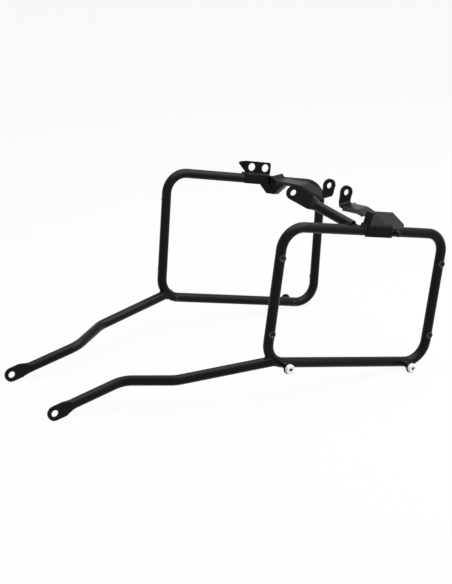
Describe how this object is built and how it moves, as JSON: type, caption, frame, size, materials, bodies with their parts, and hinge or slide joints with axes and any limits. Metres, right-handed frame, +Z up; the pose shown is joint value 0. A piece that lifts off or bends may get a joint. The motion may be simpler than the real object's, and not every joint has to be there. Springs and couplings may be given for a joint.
{
  "type": "motorcycle pannier frame",
  "caption": "Tubular motorbike carrier: bent loops with lower struts, flattened feet, eye straps, threaded inserts and bushed pins that hold hard side cases.",
  "frame": {"origin": "on the floor, in the middle of the frame's length and width, as it stands on its feet and its two rear pins", "axes": "+X to the rear of the motorbike, +Y to its right side, +Z up"},
  "size_m": [0.81, 0.5356, 0.3767],
  "materials": {
    "tube": "black powder coat, satin to gloss",
    "sheet": "black powder coat on folded sheet",
    "strap": "black powder coat on flat bar",
    "hardware": "black oxide steel",
    "insert": "darkened steel",
    "bush": "white nylon"
  },
  "bodies": {
    "root": {"left_loop": "tube", "right_loop": "tube", "left_strut": "tube", "right_strut": "tube", "left_saddle": "sheet", "right_saddle": "sheet", "left_strap_tab": "sheet", "right_strap_tab": "sheet", "left_strap": "strap", "right_strap": "strap", "left_strap_bolt": "hardware", "right_strap_bolt": "hardware", "left_strap_washer": "hardware", "right_strap_washer": "hardware", "left_strap_nut": "hardware", "right_strap_nut": "hardware", "left_front_pin": "tube", "right_front_pin": "tube", "left_rear_pin": "tube", "right_rear_pin": "tube", "left_front_bush": "bush", "right_front_bush": "bush", "left_rear_bush": "bush", "right_rear_bush": "bush", "left_pin_screws": "hardware", "right_pin_screws": "hardware", "left_inserts": "insert", "right_inserts": "insert", "right_upright": "sheet", "left_upright": "sheet", "left_web": "sheet", "left_gusset": "sheet", "left_upper_strut": "tube"}
  },
  "joints": []
}
